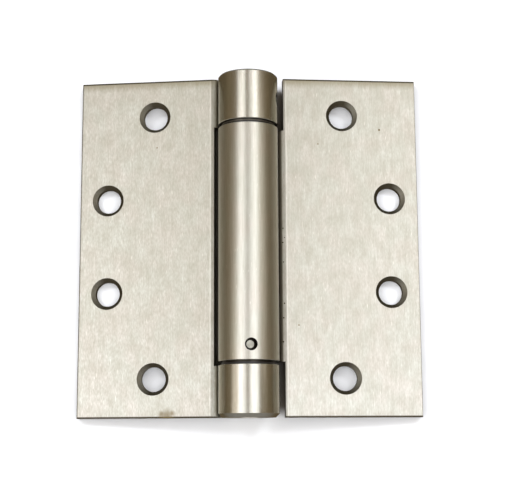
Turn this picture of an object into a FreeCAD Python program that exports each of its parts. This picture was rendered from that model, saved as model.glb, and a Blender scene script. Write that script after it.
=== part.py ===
import FreeCAD, Part
import math
import os

import Sketcher

# Spring loaded door hinge in millimetres, lying open on a flat surface, front faces up (+Z).
# The pin axis is Y, with the tension end towards +Y, and the origin is on it at mid length.
# The barrel and the outer edges of both leaves touch the surface, so each leaf droops a little.
# Every piece is drawn upright, about a Z axis of its own, and is then laid down along Y.

NO_TURN = FreeCAD.Rotation()
LAY_DOWN = FreeCAD.Rotation(FreeCAD.Vector(1, 0, 0), -90)
SIDE_OVER = FreeCAD.Rotation(FreeCAD.Vector(0, 1, 0), 180)
TOP_DOWN = FreeCAD.Rotation(FreeCAD.Vector(1, 0, 0), 180)
# Sketch numbers: the points of a line or an arc, and the two axes, the first of which also holds the origin
START, END, CENTRE = range(1, 4)
HORIZONTAL_AXIS, VERTICAL_AXIS = range(-1, -3, -1)
ROOT_POINT = HORIZONTAL_AXIS
FULL_TURN = 360.0
QUARTER_TURN = 90.0
FIND_TOLERANCE = 0.001
CUT_MARGIN = 1.0
SEAM_MARGIN = 1.0
HEX_SIDES = 6
HEX_STEP = 60.0
HUB_HOLES = 4

# Driving dimensions
DRIVING = [
    ("leaf_height", 114.3, "height of both leaves along the pin"),
    ("open_width", 114.9, "width over both leaves when flat"),
    ("leaf_thickness", 3.4, "thickness of the sheet"),
    ("barrel_diameter", 20.0, "outside of the rolled knuckles and tube"),
    ("face_setback", 0.8, "front face of a leaf behind the pin axis"),
    ("bend_clear", 2.9, "flat plate starts to bend this far outside the barrel"),
    ("bend_radius", 3.9, "radius of that bend on the front face"),
    ("curl_end_angle", 6.0, "angle by which the rolled end passes the axis plane, degrees"),
    ("knuckle_length", 16.85, "length of the top and the bottom knuckle"),
    ("knuckle_gap", 1.3, "gap between a knuckle and the tube"),
    ("frame_edge_gap", 1.7, "gap between the tube and the cut edge of the frame leaf"),
    ("door_edge_gap", 2.1, "gap between a knuckle and the cut edge of the door leaf"),
    ("leaf_edge_round", 0.2, "softened edges of the front face"),
    ("high_end_chamfer", 0.6, "chamfer at the top end of the barrel"),
    ("low_end_chamfer", 1.3, "chamfer at the bottom end of the barrel"),
    ("barrel_gap_chamfer", 0.15, "chamfer at both sides of a gap"),
    ("screw_hole_diameter", 8.2, "through hole for a screw"),
    ("screw_sink_diameter", 10.7, "countersink at the front face"),
    ("screw_sink_angle", 82.0, "angle of the countersink, degrees"),
    ("end_screw_inset", 12.7, "end screws from the top or bottom edge"),
    ("screw_step", 28.575, "height from an end screw to the next one"),
    ("inner_screw_inset", 25.4, "end screws from the outer edge"),
    ("outer_screw_inset", 9.525, "middle screws from the outer edge"),
    ("pin_hole_diameter", 5.0, "tension pin hole in the top knuckle"),
    ("pin_hole_drop", 8.3, "tension pin hole below the top end"),
    ("hub_hole_diameter", 4.0, "radial pin holes in the hub"),
    ("hub_hole_floor", 1.17, "wall between the radial pin holes and the corners of the hex socket"),
    ("hub_drop", 1.55, "top of the hub below the top end"),
    ("hub_play", 0.08, "radial play of the hub in the top knuckle"),
    ("key_flats", 4.76, "hex socket across the flats"),
    ("key_depth", 4.0, "depth of the hex socket"),
    ("ring_thickness", 0.8, "snap ring"),
    ("ring_play", 0.05, "play of the snap ring up and down"),
    ("ring_groove_depth", 0.5, "groove in the wall of the top knuckle"),
    ("ring_width", 1.55, "snap ring, from its inside to its outside"),
    ("ring_mouth", 5.0, "opening between the ends of the snap ring"),
    ("bushing_wall", 1.63, "wall of the bushings, in which the hub's journal and the anchor's stub turn"),
    ("journal_play", 0.05, "radial play of a journal in its bushing"),
    ("seat_play", 0.02, "radial play of a pressed piece in its bore"),
    ("flange_inset", 1.1, "flanges and washers in the gaps, below the outside of the barrel"),
    ("flange_thickness", 0.7, "flange of a bushing"),
    ("washer_play", 0.1, "play of the washers in the top gap"),
    ("upper_bushing_length", 6.0, "sleeve of the upper bushing"),
    ("journal_overhang", 2.0, "journal of the hub below the upper bushing"),
    ("anchor_length", 10.0, "body of the anchor in the tube"),
    ("spigot_play", 0.3, "radial play of both spigots in the spring"),
    ("spigot_length", 5.0, "length of both spigots"),
    ("slot_play", 0.1, "play of a tang in its slot, each side"),
    ("wire_diameter", 2.4, "spring wire"),
    ("tang_diameter", 2.2, "flattened tangs of the spring"),
    ("coil_play", 0.25, "radial play of the spring in its liner"),
    ("coil_pitch", 2.6, "height that each turn of the spring takes at least"),
    ("coil_end_play", 0.1, "play between the end coils and the shoulders"),
    ("liner_thickness", 0.35, "wall of the spring liner"),
    ("liner_play", 0.1, "play of the liner in the tube and at its ends"),
    ("dowel_diameter", 2.5, "anchor dowel"),
    ("dowel_hole_diameter", 4.1, "hole for the dowel in the tube"),
    ("dowel_rise", 4.9, "dowel above the bottom of the tube"),
    ("dowel_offset", 0.3, "dowel to the left of the middle of its hole"),
    ("dowel_depth", 6.0, "depth of the dowel in the anchor"),
    ("dowel_recess", 1.1, "outer end of the dowel below the surface of the tube"),
    ("tip_thickness", 2.2, "plug that closes the bottom knuckle"),
    ("tip_recess", 0.3, "plug above the bottom end"),
    ("tip_gap", 1.1, "space between the plug and the lower bushing"),
    ("turned_chamfer", 0.4, "chamfer on turned pieces"),
]

# Dimensions worked out from the driving ones
WORKED = [
    ("half_height", "=Sizes.leaf_height / 2"),
    ("half_width", "=Sizes.open_width / 2"),
    ("barrel_radius", "=Sizes.barrel_diameter / 2"),
    ("bore_radius", "=barrel_radius - Sizes.leaf_thickness"),
    ("bend_start", "=barrel_radius + Sizes.bend_clear"),
    ("knuckle_end", "=half_height - Sizes.knuckle_length"),
    ("tube_end", "=knuckle_end - Sizes.knuckle_gap"),
    ("frame_notch_edge", "=barrel_radius + Sizes.frame_edge_gap"),
    ("door_notch_edge", "=barrel_radius + Sizes.door_edge_gap"),
    ("back_setback", "=Sizes.face_setback + Sizes.leaf_thickness"),
    ("corner_reach", "=sqrt(half_width ^ 2 + back_setback ^ 2)"),
    ("leaf_droop", "=(asin(barrel_radius / corner_reach) - atan(back_setback / half_width)) / 1 deg"),
    ("end_screw_height", "=half_height - Sizes.end_screw_inset"),
    ("middle_screw_height", "=end_screw_height - Sizes.screw_step"),
    ("inner_screw_reach", "=half_width - Sizes.inner_screw_inset"),
    ("outer_screw_reach", "=half_width - Sizes.outer_screw_inset"),
    ("pin_hole_height", "=half_height - Sizes.pin_hole_drop"),
    ("seat_radius", "=bore_radius - Sizes.seat_play"),
    ("bushing_bore", "=seat_radius - Sizes.bushing_wall"),
    ("journal_radius", "=bushing_bore - Sizes.journal_play"),
    ("flange_radius", "=barrel_radius - Sizes.flange_inset"),
    ("lower_washer_thickness", "=Sizes.knuckle_gap - Sizes.flange_thickness"),
    ("upper_washer_thickness", "=lower_washer_thickness - Sizes.washer_play"),
    ("upper_washer_bottom", "=tube_end + Sizes.flange_thickness"),
    ("lower_washer_bottom", "=-tube_end - lower_washer_thickness"),
    ("upper_bushing_bottom", "=tube_end - Sizes.upper_bushing_length"),
    ("upper_flange_top", "=Sizes.upper_bushing_length + Sizes.flange_thickness"),
    ("tip_bottom", "=Sizes.tip_recess - half_height"),
    ("lower_bushing_bottom", "=tip_bottom + Sizes.tip_thickness + Sizes.tip_gap"),
    ("lower_bushing_length", "=-knuckle_end - lower_bushing_bottom"),
    ("lower_flange_top", "=lower_bushing_length + Sizes.flange_thickness"),
    ("wire_radius", "=Sizes.wire_diameter / 2"),
    ("tang_radius", "=Sizes.tang_diameter / 2"),
    ("liner_outer_radius", "=bore_radius - Sizes.liner_play"),
    ("liner_inner_radius", "=liner_outer_radius - Sizes.liner_thickness"),
    ("coil_radius", "=liner_inner_radius - Sizes.coil_play - wire_radius"),
    ("spigot_radius", "=coil_radius - wire_radius - Sizes.spigot_play"),
    ("hub_radius", "=bore_radius - Sizes.hub_play"),
    ("hub_shoulder", "=knuckle_end - Sizes.washer_play"),
    ("hub_top", "=half_height - Sizes.hub_drop"),
    ("hub_head_length", "=hub_top - hub_shoulder"),
    ("hub_journal_end", "=upper_bushing_bottom - Sizes.journal_overhang"),
    ("hub_journal_reach", "=hub_top - hub_journal_end"),
    ("hub_reach", "=hub_journal_reach + Sizes.spigot_length"),
    ("slot_width", "=Sizes.tang_diameter + 2 * Sizes.slot_play"),
    ("slot_depth", "=Sizes.spigot_length - Sizes.slot_play"),
    ("ring_groove_radius", "=bore_radius + Sizes.ring_groove_depth"),
    ("ring_groove_height", "=Sizes.ring_thickness + 2 * Sizes.ring_play"),
    ("ring_outer_radius", "=ring_groove_radius - Sizes.ring_play"),
    ("ring_inner_radius", "=ring_outer_radius - Sizes.ring_width"),
    ("ring_bottom", "=hub_top + Sizes.ring_play"),
    ("key_corner_radius", "=Sizes.key_flats / 2 / cos(30 deg)"),
    ("hub_hole_end", "=key_corner_radius + Sizes.hub_hole_floor"),
    ("anchor_shoulder", "=Sizes.anchor_length - tube_end"),
    ("coil_bottom", "=anchor_shoulder + wire_radius + Sizes.coil_end_play"),
    ("coil_top", "=hub_journal_end - wire_radius - Sizes.coil_end_play"),
    ("coil_height", "=coil_top - coil_bottom"),
    ("coil_turns", "=floor(coil_height / Sizes.coil_pitch) + 2 * leaf_droop / 360"),
    ("liner_bottom", "=anchor_shoulder + Sizes.liner_play"),
    ("liner_length", "=upper_bushing_bottom - Sizes.liner_play - liner_bottom"),
    ("stub_length", "=Sizes.knuckle_gap + lower_bushing_length"),
    ("anchor_stub_step", "=stub_length + Sizes.anchor_length"),
    ("anchor_reach", "=anchor_stub_step + Sizes.spigot_length"),
    ("anchor_bottom", "=-tube_end - stub_length"),
    ("dowel_radius", "=Sizes.dowel_diameter / 2"),
    ("dowel_height", "=Sizes.dowel_rise - tube_end"),
    ("dowel_inner_end", "=bore_radius - Sizes.dowel_depth"),
    ("dowel_length", "=barrel_radius - Sizes.dowel_recess - dowel_inner_end"),
]

PARTS_FOLDER = "parts"


def fill_sheet(doc, name, rows):
    # Each row holds the name of a size, its value under that name, and a note
    sheet = doc.addObject("Spreadsheet::Sheet", name)
    for line, row in enumerate(rows, start=1):
        alias = row[0]
        value = row[1]
        sheet.set("A%d" % line, alias)
        sheet.set("B%d" % line, str(value))
        sheet.setAlias("B%d" % line, alias)
        if len(row) > 2:
            sheet.set("C%d" % line, row[2])
    doc.recompute()
    return sheet


document = FreeCAD.newDocument("spring_hinge")
sizes_sheet = fill_sheet(document, "Sizes", DRIVING)
worked_sheet = fill_sheet(document, "Worked", WORKED)
WORKED_NAMES = [row[0] for row in WORKED]
sub_parts = []


def value_of(alias):
    if alias in WORKED_NAMES:
        return float(worked_sheet.get(alias))
    return float(sizes_sheet.get(alias))


def cell(alias):
    # The expression that reads a size from its sheet
    if alias in WORKED_NAMES:
        return "Worked." + alias
    return "Sizes." + alias


def named(alias):
    # A measure is a value and the expression that keeps it
    return (value_of(alias), cell(alias))


def bind(feature, property_name, expression):
    feature.setExpression(property_name, expression)


def new_body(label):
    body = document.addObject("PartDesign::Body", label)
    body.Label = label
    sub_parts.append(body)
    return body


def origin_plane(body, role):
    for feature in body.Origin.OriginFeatures:
        if feature.Role == role:
            return feature
    raise RuntimeError(body.Label + " has no " + role)


def new_sketch(body, name, role):
    sketch = body.newObject("Sketcher::SketchObject", name)
    sketch.AttachmentSupport = [(origin_plane(body, role), "")]
    sketch.MapMode = "FlatFace"
    return sketch


def spin(angle):
    # A turn about the pin axis of an upright piece
    return FreeCAD.Rotation(FreeCAD.Vector(0, 0, 1), angle)


def place(feature, height_name, angle=0.0, flip=NO_TURN):
    # Flips and spins an upright piece, lays it down and moves it along the pin axis
    feature.Placement = FreeCAD.Placement(FreeCAD.Vector(), LAY_DOWN * spin(angle) * flip)
    if height_name:
        bind(feature, "Placement.Base.y", cell(height_name))


def add_measure(sketch, constraint, expression):
    number = sketch.addConstraint(constraint)
    bind(sketch, "Constraints[%d]" % number, expression)


def hold_point(sketch, geometry, point, across, up):
    # Ties a point of a sketch to two measures, or to an axis where a measure is None
    for kind, measure, axis in (("DistanceX", across, VERTICAL_AXIS), ("DistanceY", up, HORIZONTAL_AXIS)):
        if measure is None:
            sketch.addConstraint(Sketcher.Constraint("PointOnObject", geometry, point, axis))
        else:
            value, expression = measure
            distance = Sketcher.Constraint(kind, ROOT_POINT, START, geometry, point, value)
            add_measure(sketch, distance, expression)


def outline_sketch(body, name, role, corners):
    # A closed outline of straight lines whose corners are pairs of measures
    sketch = new_sketch(body, name, role)
    points = []
    for across, up in corners:
        points.append(FreeCAD.Vector(across[0] if across else 0.0, up[0] if up else 0.0, 0))
    following = points[1:] + points[:1]
    lines = [Part.LineSegment(begin, end) for begin, end in zip(points, following)]
    sketch.addGeometry(lines, False)
    for number in range(len(lines)):
        next_number = (number + 1) % len(lines)
        sketch.addConstraint(Sketcher.Constraint("Coincident", number, END, next_number, START))
    for number, corner in enumerate(corners):
        hold_point(sketch, number, START, corner[0], corner[1])
    return sketch


def turned_body(label, corner_names, height_name, angle=0.0, flip=NO_TURN):
    # A piece turned about its own Z axis, its outline given as pairs of radius and height
    body = new_body(label)
    corners = []
    for across_name, up_name in corner_names:
        across = named(across_name) if across_name else None
        up = named(up_name) if up_name else None
        corners.append((across, up))
    sketch = outline_sketch(body, label + "_outline", "XZ_Plane", corners)
    turning = body.newObject("PartDesign::Revolution", label + "_turning")
    turning.Profile = sketch
    turning.ReferenceAxis = (sketch, ["V_Axis"])
    turning.Angle = FULL_TURN
    place(body, height_name, angle, flip)
    document.recompute()
    return body


def ring_edges(shape, radius, height):
    # Names of the round edges about the Z axis with this radius and height
    names = []
    for number, edge in enumerate(shape.Edges, start=1):
        if not isinstance(edge.Curve, Part.Circle):
            continue
        centre = edge.Curve.Center
        off_axis = math.hypot(centre.x, centre.y)
        misses = (off_axis, abs(centre.z - height), abs(edge.Curve.Radius - radius))
        if max(misses) < FIND_TOLERANCE:
            names.append("Edge%d" % number)
    return names


def chamfer_rings(body, rings):
    # Chamfers the round edges given as pairs of the names of their radius and height
    base = body.Tip
    names = []
    for radius_name, height_name in rings:
        height = value_of(height_name) if height_name else 0.0
        found = ring_edges(base.Shape, value_of(radius_name), height)
        if not found:
            raise RuntimeError("%s has no edge at %s" % (body.Label, radius_name))
        names.extend(found)
    chamfer = body.newObject("PartDesign::Chamfer", body.Label + "_chamfer")
    chamfer.Base = (base, names)
    bind(chamfer, "Size", cell("turned_chamfer"))
    document.recompute()


def side_direction(azimuth):
    return FreeCAD.Vector(math.cos(math.radians(azimuth)), math.sin(math.radians(azimuth)), 0)


def radial_hole(body, name, radius_expression, azimuth, height, inner_end, outer_end, sideways=0.0):
    # A round hole along a radius, from inner_end to outer_end
    direction = side_direction(azimuth)
    shift = side_direction(azimuth + QUARTER_TURN) * sideways
    hole = body.newObject("PartDesign::SubtractiveCylinder", name)
    bind(hole, "Radius", radius_expression)
    hole.Height = outer_end - inner_end
    start = direction * inner_end + shift + FreeCAD.Vector(0, 0, height)
    hole.Placement = FreeCAD.Placement(start, FreeCAD.Rotation(FreeCAD.Vector(0, 0, 1), direction))
    document.recompute()
    return hole


def cut_box(body, name, low, high):
    box = body.newObject("PartDesign::SubtractiveBox", name)
    box.Length = high[0] - low[0]
    box.Width = high[1] - low[1]
    box.Height = high[2] - low[2]
    box.Placement = FreeCAD.Placement(FreeCAD.Vector(*low), NO_TURN)
    document.recompute()
    return box


# The leaves

def neck_angle():
    # Where the straight neck leaves the roll: it touches the bend and the roll from opposite sides
    across = value_of("bend_start")
    up = value_of("face_setback") + value_of("bend_radius")
    reach = value_of("bend_radius") + value_of("bore_radius")
    return math.atan2(up, across) + math.acos(reach / math.hypot(across, up))


def leaf_section(body):
    # The bent sheet seen along the pin: flat plate, offset bend, neck and rolled barrel
    sketch = new_sketch(body, body.Label + "_section", "XY_Plane")
    barrel = value_of("barrel_radius")
    bore = value_of("bore_radius")
    thickness = value_of("leaf_thickness")
    face = value_of("face_setback")
    edge = value_of("half_width")
    bend_x = value_of("bend_start")
    face_bend = value_of("bend_radius")
    back_bend = face_bend - thickness
    curl_end = math.radians(value_of("curl_end_angle"))
    back = face + thickness
    axis = FreeCAD.Vector(0, 0, 0)
    up = FreeCAD.Vector(0, 0, 1)
    bend_centre = FreeCAD.Vector(bend_x, face + face_bend, 0)
    neck = neck_angle()
    neck_direction = FreeCAD.Vector(math.cos(neck), math.sin(neck), 0)
    end_direction = FreeCAD.Vector(math.cos(curl_end), math.sin(curl_end), 0)
    face_neck = bend_centre - neck_direction * face_bend
    back_neck = bend_centre - neck_direction * back_bend
    full = math.radians(FULL_TURN)
    bend_from = full / 2 + neck
    bend_to = math.radians(FULL_TURN - QUARTER_TURN)
    shapes = [
        Part.LineSegment(FreeCAD.Vector(edge, face, 0), FreeCAD.Vector(bend_x, face, 0)),
        Part.ArcOfCircle(Part.Circle(bend_centre, up, face_bend), bend_from, bend_to),
        Part.LineSegment(face_neck, neck_direction * bore),
        Part.ArcOfCircle(Part.Circle(axis, up, bore), neck, full + curl_end),
        Part.LineSegment(end_direction * bore, end_direction * barrel),
        Part.ArcOfCircle(Part.Circle(axis, up, barrel), neck, full + curl_end),
        Part.LineSegment(neck_direction * barrel, back_neck),
        Part.ArcOfCircle(Part.Circle(bend_centre, up, back_bend), bend_from, bend_to),
        Part.LineSegment(FreeCAD.Vector(bend_x, back, 0), FreeCAD.Vector(edge, back, 0)),
        Part.LineSegment(FreeCAD.Vector(edge, back, 0), FreeCAD.Vector(edge, face, 0)),
    ]
    sketch.addGeometry(shapes, False)
    numbers = range(len(shapes))
    front, face_arc, face_line, bore_arc, rolled_end, barrel_arc, back_line, back_arc, rear, rim = numbers
    joins = [
        ("Tangent", front, END, face_arc, END),
        ("Tangent", face_arc, START, face_line, START),
        ("Tangent", face_line, END, bore_arc, START),
        ("Coincident", bore_arc, END, rolled_end, START),
        ("Coincident", rolled_end, END, barrel_arc, END),
        ("Tangent", barrel_arc, START, back_line, START),
        ("Tangent", back_line, END, back_arc, START),
        ("Tangent", back_arc, END, rear, START),
        ("Coincident", rear, END, rim, START),
        ("Coincident", rim, END, front, START),
        ("Coincident", bore_arc, CENTRE, ROOT_POINT, START),
        ("Coincident", barrel_arc, CENTRE, ROOT_POINT, START),
        ("Coincident", face_arc, CENTRE, back_arc, CENTRE),
        ("PointOnObject", ROOT_POINT, START, rolled_end),
        ("Horizontal", front),
        ("Horizontal", rear),
        ("Vertical", rim),
    ]
    for join in joins:
        sketch.addConstraint(Sketcher.Constraint(*join))
    measures = [
        (("Radius", bore_arc, bore), cell("bore_radius")),
        (("Radius", barrel_arc, barrel), cell("barrel_radius")),
        (("Radius", face_arc, face_bend), cell("bend_radius")),
        (("DistanceX", ROOT_POINT, START, face_arc, CENTRE, bend_x), cell("bend_start")),
        (("DistanceY", ROOT_POINT, START, front, START, face), cell("face_setback")),
        (("DistanceY", ROOT_POINT, START, rear, END, back), cell("back_setback")),
        (("DistanceX", ROOT_POINT, START, front, START, edge), cell("half_width")),
        (("Angle", rolled_end, curl_end), cell("curl_end_angle") + " * 1 deg"),
    ]
    for measure, expression in measures:
        add_measure(sketch, Sketcher.Constraint(*measure), expression)
    return sketch


def soften_front(body, sheet):
    # Rounds the edges of the front face, which run on along the neck into the bore
    face = value_of("face_setback")
    edge_x = value_of("half_width")
    names = []
    for number, edge in enumerate(sheet.Shape.Edges, start=1):
        depths = [abs(vertex.Y - face) for vertex in edge.Vertexes]
        reach = max(vertex.X for vertex in edge.Vertexes)
        if max(depths) < FIND_TOLERANCE and reach > edge_x - FIND_TOLERANCE:
            names.append("Edge%d" % number)
    soft = body.newObject("PartDesign::Fillet", body.Label + "_soft_edges")
    soft.Base = (sheet, names)
    bind(soft, "Radius", cell("leaf_edge_round"))
    document.recompute()


def screw_holes(body):
    # Four countersunk holes from the front face: two end screws and two middle ones
    sketch = new_sketch(body, body.Label + "_screws", "XZ_Plane")
    bind(sketch, "AttachmentOffset.Base.z", "-" + cell("face_setback"))
    radius = value_of("screw_hole_diameter") / 2
    up = FreeCAD.Vector(0, 0, 1)
    rows = (("inner_screw_reach", "end_screw_height"), ("outer_screw_reach", "middle_screw_height"))
    for reach_name, height_name in rows:
        reach = named(reach_name)
        for side in (1, -1):
            height = (side * value_of(height_name), "%d * %s" % (side, cell(height_name)))
            centre = FreeCAD.Vector(reach[0], height[0], 0)
            circle = sketch.addGeometry(Part.Circle(centre, up, radius), False)
            hold_point(sketch, circle, CENTRE, reach, height)
            size = Sketcher.Constraint("Radius", circle, radius)
            add_measure(sketch, size, cell("screw_hole_diameter") + " / 2")
    document.recompute()
    holes = body.newObject("PartDesign::Hole", body.Label + "_holes")
    holes.Profile = sketch
    holes.Threaded = False
    holes.DepthType = "ThroughAll"
    holes.HoleCutType = "Countersink"
    holes.HoleCutCustomValues = True
    bind(holes, "Diameter", cell("screw_hole_diameter"))
    bind(holes, "HoleCutDiameter", cell("screw_sink_diameter"))
    bind(holes, "HoleCutCountersinkAngle", cell("screw_sink_angle"))
    document.recompute()
    return holes


def barrel_chamfer(body, end_name, size_name, side):
    # A chamfer round one end of a knuckle or of the tube, from the neck to the rolled end
    radius = named("barrel_radius")
    height = (side * value_of(end_name), "%d * %s" % (side, cell(end_name)))
    size = named(size_name)
    narrow = (radius[0] - size[0], "%s - %s" % (radius[1], size[1]))
    inward = side if end_name != "knuckle_end" else -side
    away = (height[0] - inward * size[0], "%s - %d * %s" % (height[1], inward, size[1]))
    label = "%s_chamfer_%s_%s" % (body.Label, end_name, "high" if side > 0 else "low")
    sketch = outline_sketch(body, label + "_outline", "XZ_Plane",
                            [(narrow, height), (radius, height), (radius, away)])
    start = math.degrees(neck_angle())
    turn = FreeCAD.Rotation(FreeCAD.Vector(0, 1, 0), start)
    sketch.AttachmentOffset = FreeCAD.Placement(FreeCAD.Vector(), turn)
    groove = body.newObject("PartDesign::Groove", label)
    groove.Profile = sketch
    groove.ReferenceAxis = (sketch, ["V_Axis"])
    groove.Angle = FULL_TURN + value_of("curl_end_angle") + SEAM_MARGIN - start
    document.recompute()
    return groove


def leaf_body(label, notch_edge_name, notch_spans, ends, angle, flip=NO_TURN):
    # One leaf: the bent sheet, cut away beside the other leaf's knuckles
    body = new_body(label)
    sketch = leaf_section(body)
    sheet = body.newObject("PartDesign::Pad", label + "_sheet")
    sheet.Profile = sketch
    sheet.SideType = "Symmetric"
    bind(sheet, "Length", cell("leaf_height"))
    document.recompute()
    soften_front(body, sheet)
    reach = value_of("barrel_radius") + CUT_MARGIN
    for number, (low, high) in enumerate(notch_spans, start=1):
        notch_low = (-reach, -reach, low)
        notch_high = (value_of(notch_edge_name), reach, high)
        cut_box(body, "%s_notch_%d" % (label, number), notch_low, notch_high)
    screw_holes(body)
    for end_name, size_name, side in ends:
        barrel_chamfer(body, end_name, size_name, side)
    place(body, None, angle, flip)
    document.recompute()
    return body


# The frame leaf carries the top and bottom knuckles. It is drawn like the door leaf and turned over.
leaf_droop = value_of("leaf_droop")
knuckle_end = value_of("knuckle_end")
tube_end = value_of("tube_end")
half_height = value_of("half_height")
bore_radius = value_of("bore_radius")
barrel_radius = value_of("barrel_radius")

frame_leaf = leaf_body(
    "frame_leaf",
    "frame_notch_edge",
    [(-knuckle_end, knuckle_end)],
    [
        ("half_height", "low_end_chamfer", 1),
        ("half_height", "high_end_chamfer", -1),
        ("knuckle_end", "barrel_gap_chamfer", 1),
        ("knuckle_end", "barrel_gap_chamfer", -1),
    ],
    -leaf_droop, SIDE_OVER,
)
# Before it is turned over, the top knuckle is the lower one and its far side is at -X
radial_hole(
    frame_leaf, "frame_leaf_pin_hole", cell("pin_hole_diameter") + " / 2",
    FULL_TURN / 2, -value_of("pin_hole_height"),
    bore_radius - CUT_MARGIN, barrel_radius + CUT_MARGIN,
)
ring_groove = frame_leaf.newObject("PartDesign::SubtractiveCylinder", "frame_leaf_ring_groove")
bind(ring_groove, "Radius", cell("ring_groove_radius"))
bind(ring_groove, "Height", cell("ring_groove_height"))
ring_groove_low = -value_of("ring_bottom") - value_of("ring_thickness") - value_of("ring_play")
ring_groove.Placement = FreeCAD.Placement(FreeCAD.Vector(0, 0, ring_groove_low), NO_TURN)
document.recompute()

door_leaf = leaf_body(
    "door_leaf",
    "door_notch_edge",
    [(tube_end, half_height + CUT_MARGIN), (-half_height - CUT_MARGIN, -tube_end)],
    [("tube_end", "barrel_gap_chamfer", 1), ("tube_end", "barrel_gap_chamfer", -1)],
    leaf_droop,
)
radial_hole(
    door_leaf, "door_leaf_dowel_hole", cell("dowel_hole_diameter") + " / 2",
    -QUARTER_TURN, value_of("dowel_height"),
    bore_radius - CUT_MARGIN, barrel_radius + CUT_MARGIN,
)


# The tension hub and its ring, in the top knuckle

tension_hub = turned_body(
    "tension_hub",
    [
        (None, None),
        ("hub_radius", None),
        ("hub_radius", "hub_head_length"),
        ("journal_radius", "hub_head_length"),
        ("journal_radius", "hub_journal_reach"),
        ("spigot_radius", "hub_journal_reach"),
        ("spigot_radius", "hub_reach"),
        (None, "hub_reach"),
    ],
    "hub_top", -leaf_droop, TOP_DOWN,
)
chamfer_rings(tension_hub, [("hub_radius", None), ("journal_radius", "hub_journal_reach")])


def key_socket(body):
    # A blind hex socket in the top of the hub
    sketch = new_sketch(body, body.Label + "_socket_outline", "XY_Plane")
    corner_radius = value_of("key_corner_radius")
    points = [side_direction(number * HEX_STEP) * corner_radius for number in range(HEX_SIDES)]
    following = points[1:] + points[:1]
    lines = [Part.LineSegment(begin, end) for begin, end in zip(points, following)]
    sketch.addGeometry(lines, False)
    ring = sketch.addGeometry(Part.Circle(FreeCAD.Vector(), FreeCAD.Vector(0, 0, 1), corner_radius), True)
    sketch.addConstraint(Sketcher.Constraint("Coincident", ring, CENTRE, ROOT_POINT, START))
    for number in range(HEX_SIDES):
        next_number = (number + 1) % HEX_SIDES
        sketch.addConstraint(Sketcher.Constraint("Coincident", number, END, next_number, START))
        sketch.addConstraint(Sketcher.Constraint("PointOnObject", number, START, ring))
    for number in range(1, HEX_SIDES):
        sketch.addConstraint(Sketcher.Constraint("Equal", 0, number))
    sketch.addConstraint(Sketcher.Constraint("PointOnObject", 0, START, HORIZONTAL_AXIS))
    size = Sketcher.Constraint("Radius", ring, corner_radius)
    add_measure(sketch, size, cell("key_corner_radius"))
    socket = body.newObject("PartDesign::Pocket", body.Label + "_socket")
    socket.Profile = sketch
    socket.Reversed = True
    bind(socket, "Length", cell("key_depth"))
    document.recompute()


key_socket(tension_hub)
hub_radius = value_of("hub_radius")
hub_hole = radial_hole(
    tension_hub, "tension_hub_pin_hole", cell("hub_hole_diameter") + " / 2",
    0.0, value_of("hub_top") - value_of("pin_hole_height"),
    value_of("hub_hole_end"), hub_radius + CUT_MARGIN,
)
hub_holes = tension_hub.newObject("PartDesign::PolarPattern", "tension_hub_pin_holes")
hub_holes.Originals = [hub_hole]
hub_holes.Axis = (origin_plane(tension_hub, "Z_Axis"), [""])
hub_holes.Angle = FULL_TURN
hub_holes.Occurrences = HUB_HOLES
tension_hub.Tip = hub_holes
document.recompute()


def spigot_slot(body, reach):
    # The slot across the end of a spigot that takes a tang of the spring
    side = value_of("spigot_radius") + CUT_MARGIN
    half_slot = value_of("slot_width") / 2
    low = (-side, -half_slot, reach - value_of("slot_depth"))
    cut_box(body, body.Label + "_slot", low, (side, half_slot, reach + CUT_MARGIN))


spigot_slot(tension_hub, value_of("hub_reach"))

hub_ring = turned_body(
    "hub_ring",
    [
        ("ring_inner_radius", None),
        ("ring_outer_radius", None),
        ("ring_outer_radius", "ring_thickness"),
        ("ring_inner_radius", "ring_thickness"),
    ],
    "ring_bottom",
)
half_mouth = value_of("ring_mouth") / 2
ring_reach = value_of("ring_outer_radius") + CUT_MARGIN
cut_box(hub_ring, "hub_ring_mouth", (-half_mouth, 0.0, -CUT_MARGIN),
        (half_mouth, ring_reach, value_of("ring_thickness") + CUT_MARGIN))


# Bushings and washers in the gaps

def flanged_bushing(label, length_name, flange_name, bottom_name):
    body = turned_body(
        label,
        [
            ("bushing_bore", None),
            ("seat_radius", None),
            ("seat_radius", length_name),
            ("flange_radius", length_name),
            ("flange_radius", flange_name),
            ("bushing_bore", flange_name),
        ],
        bottom_name,
    )
    chamfer_rings(body, [("seat_radius", None)])
    return body


def flat_washer(label, thickness_name, bottom_name):
    return turned_body(
        label,
        [
            ("bushing_bore", None),
            ("flange_radius", None),
            ("flange_radius", thickness_name),
            ("bushing_bore", thickness_name),
        ],
        bottom_name,
    )


flanged_bushing("upper_bushing", "upper_bushing_length", "upper_flange_top", "upper_bushing_bottom")
flat_washer("upper_washer", "upper_washer_thickness", "upper_washer_bottom")
flanged_bushing("lower_bushing", "lower_bushing_length", "lower_flange_top", "lower_bushing_bottom")
flat_washer("lower_washer", "lower_washer_thickness", "lower_washer_bottom")


# The spring and its liner

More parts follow.
